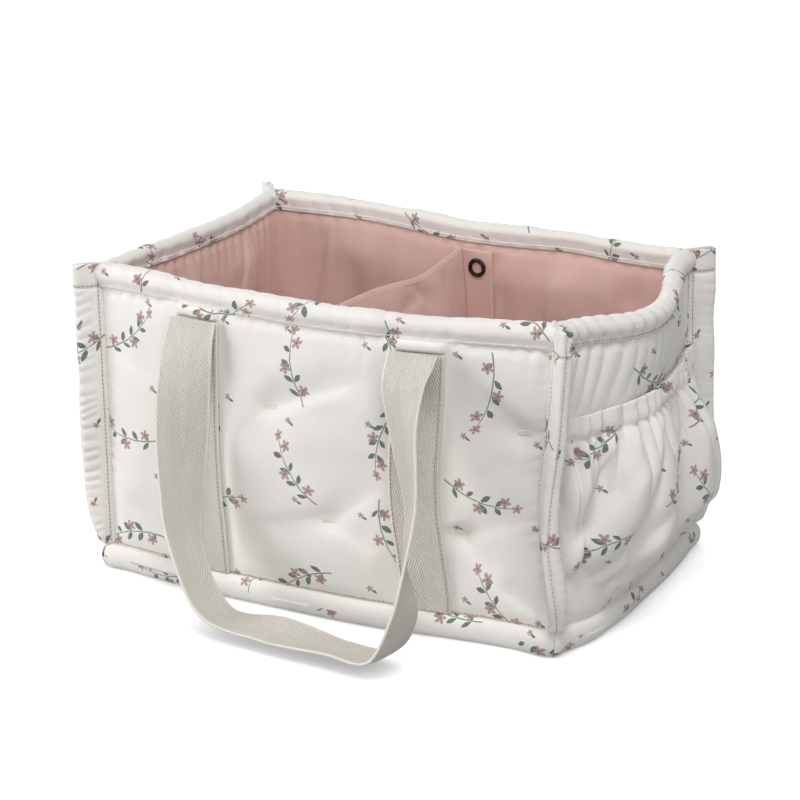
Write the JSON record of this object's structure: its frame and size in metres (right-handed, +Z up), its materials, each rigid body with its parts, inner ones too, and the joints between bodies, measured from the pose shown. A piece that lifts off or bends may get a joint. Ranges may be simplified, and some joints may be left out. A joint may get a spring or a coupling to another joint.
{
  "type": "diaper caddy",
  "caption": "Soft open storage caddy of quilted printed cotton with a lift-out divider, gathered end pockets and webbing loop handles.",
  "frame": {"origin": "on the floor, under the middle of the whole caddy with its handle loops lying out in front and behind", "axes": "+X along the length to the right-hand end, +Y to the back, +Z up; the front handle loop lies towards -Y"},
  "size_m": [0.484, 0.4302, 0.2366],
  "materials": {
    "printed_cotton": "matt woven cotton, cream with a scattered sprig print",
    "pink_lining": "matt woven cotton, dusty pink",
    "wadding": "soft polyester wadding",
    "webbing": "herringbone cotton webbing, ecru",
    "elastic": "knitted flat elastic",
    "board": "stiff base board, matt",
    "snap_metal": "antique dark bronze"
  },
  "bodies": {
    "caddy": {"front_wall_wadding": "wadding", "front_wall_cover": "printed_cotton", "front_wall_lining": "pink_lining", "right_wall_wadding": "wadding", "right_wall_cover": "printed_cotton", "right_wall_lining": "pink_lining", "back_wall_wadding": "wadding", "back_wall_cover": "printed_cotton", "back_wall_lining": "pink_lining", "left_wall_wadding": "wadding", "left_wall_cover": "printed_cotton", "left_wall_lining": "pink_lining", "front_top_binding": "printed_cotton", "right_top_binding": "printed_cotton", "back_top_binding": "printed_cotton", "left_top_binding": "printed_cotton", "left_top_elastic": "elastic", "right_top_elastic": "elastic", "front_foot_band": "printed_cotton", "right_foot_band": "printed_cotton", "back_foot_band": "printed_cotton", "left_foot_band": "printed_cotton", "base_cover": "printed_cotton", "base_wadding": "wadding", "base_board": "board", "base_lining": "pink_lining", "front_left_corner_fin": "printed_cotton", "front_right_corner_fin": "printed_cotton", "back_right_corner_fin": "printed_cotton", "back_left_corner_fin": "printed_cotton", "front_left_sewn_strip": "webbing", "front_right_sewn_strip": "webbing", "back_left_sewn_strip": "webbing", "back_right_sewn_strip": "webbing", "left_end_pocket": "printed_cotton", "left_pocket_elastic": "elastic", "right_end_pocket": "printed_cotton", "right_pocket_elastic": "elastic", "front_upper_snap_stud": "snap_metal", "front_lower_snap_stud": "snap_metal", "back_upper_snap_stud": "snap_metal", "back_lower_snap_stud": "snap_metal"},
    "divider": {"divider_wadding": "wadding", "divider_cover": "pink_lining", "divider_front_flange": "pink_lining", "front_upper_snap_socket": "snap_metal", "front_upper_snap_ring": "snap_metal", "front_lower_snap_socket": "snap_metal", "front_lower_snap_ring": "snap_metal", "divider_back_flange": "pink_lining", "back_upper_snap_socket": "snap_metal", "back_upper_snap_ring": "snap_metal", "back_lower_snap_socket": "snap_metal", "back_lower_snap_ring": "snap_metal"},
    "front_handle": {"front_handle_loop": "webbing"},
    "back_handle": {"back_handle_loop": "webbing"}
  },
  "joints": [
    {"name": "front_handle_swing", "type": "hinge", "parent": "caddy", "child": "front_handle", "pos_m": [0, -0.1356, 0.211], "axis": [-1, 0, 0], "range_deg": [0, 140]},
    {"name": "back_handle_swing", "type": "hinge", "parent": "caddy", "child": "back_handle", "pos_m": [0, 0.14, 0.211], "axis": [1, 0, 0], "range_deg": [0, 140]},
    {"name": "divider_lift", "type": "slide", "parent": "caddy", "child": "divider", "axis": [0, 0, 1], "range_m": [0, 0.24]}
  ]
}
